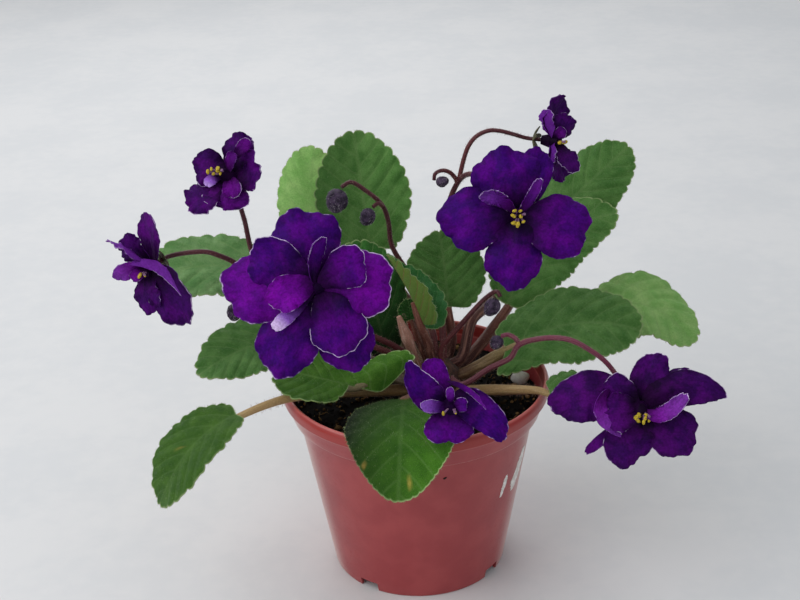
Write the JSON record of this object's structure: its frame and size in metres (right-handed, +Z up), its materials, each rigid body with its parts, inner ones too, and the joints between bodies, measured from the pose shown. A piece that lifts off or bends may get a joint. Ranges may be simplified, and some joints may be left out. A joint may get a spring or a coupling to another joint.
{
  "type": "potted african violet",
  "caption": "Small round plastic nursery pot filled with soil, holding a rosette of hairy toothed oval leaves with arching stalks of dark violet ruffled flowers and closed buds.",
  "frame": {"origin": "centre of the pot's base, on the surface that the pot stands on", "axes": "+Z up along the pot's axis, -Y towards the front of the plant, +X to the right seen from the front"},
  "size_m": [0.1974, 0.118, 0.1567],
  "materials": {
    "pot": "satin",
    "soil": "matte",
    "pebble": "matte",
    "crown": "matte",
    "leaf": "matte",
    "dark_leaf": "matte",
    "petal": "matte",
    "anther": "matte",
    "stalk": "matte",
    "bud": "matte",
    "stub": "matte"
  },
  "bodies": {
    "root": {"pot": "pot", "soil": "soil", "pebble": "pebble", "crown": "crown", "leaf_front": "leaf", "leaf_front_left": "leaf", "leaf_low_left": "leaf", "leaf_mid_left": "leaf", "leaf_upper_left": "leaf", "leaf_back_left": "leaf", "leaf_back": "dark_leaf", "leaf_dark": "dark_leaf", "leaf_folded": "leaf", "leaf_centre_right": "leaf", "leaf_upper_right": "leaf", "leaf_mid_right": "leaf", "leaf_right": "leaf", "leaf_far_right": "leaf", "leaf_low_right": "leaf", "leaf_small": "dark_leaf", "stub": "stub", "stalk_back": "stalk", "stalk_right": "stalk", "stalk_centre": "stalk", "stalk_left": "stalk", "stalk_low_left": "stalk", "stalk_front": "stalk", "stalk_bud": "stalk", "bud_back_left": "bud", "bud_back": "bud", "bud_left": "bud", "bud_top": "bud", "bud_crown": "bud", "bud_right": "bud", "bloom_upper_left": "petal", "anthers_upper_left": "anther", "bloom_left": "petal", "anthers_left": "anther", "bloom_front_left": "petal", "anthers_front_left": "anther", "bloom_top_right": "petal", "anthers_top_right": "anther", "bloom_right_front": "petal", "anthers_right_front": "anther", "bloom_low_front": "petal", "anthers_low_front": "anther", "bloom_right": "petal", "anthers_right": "anther"}
  },
  "joints": []
}
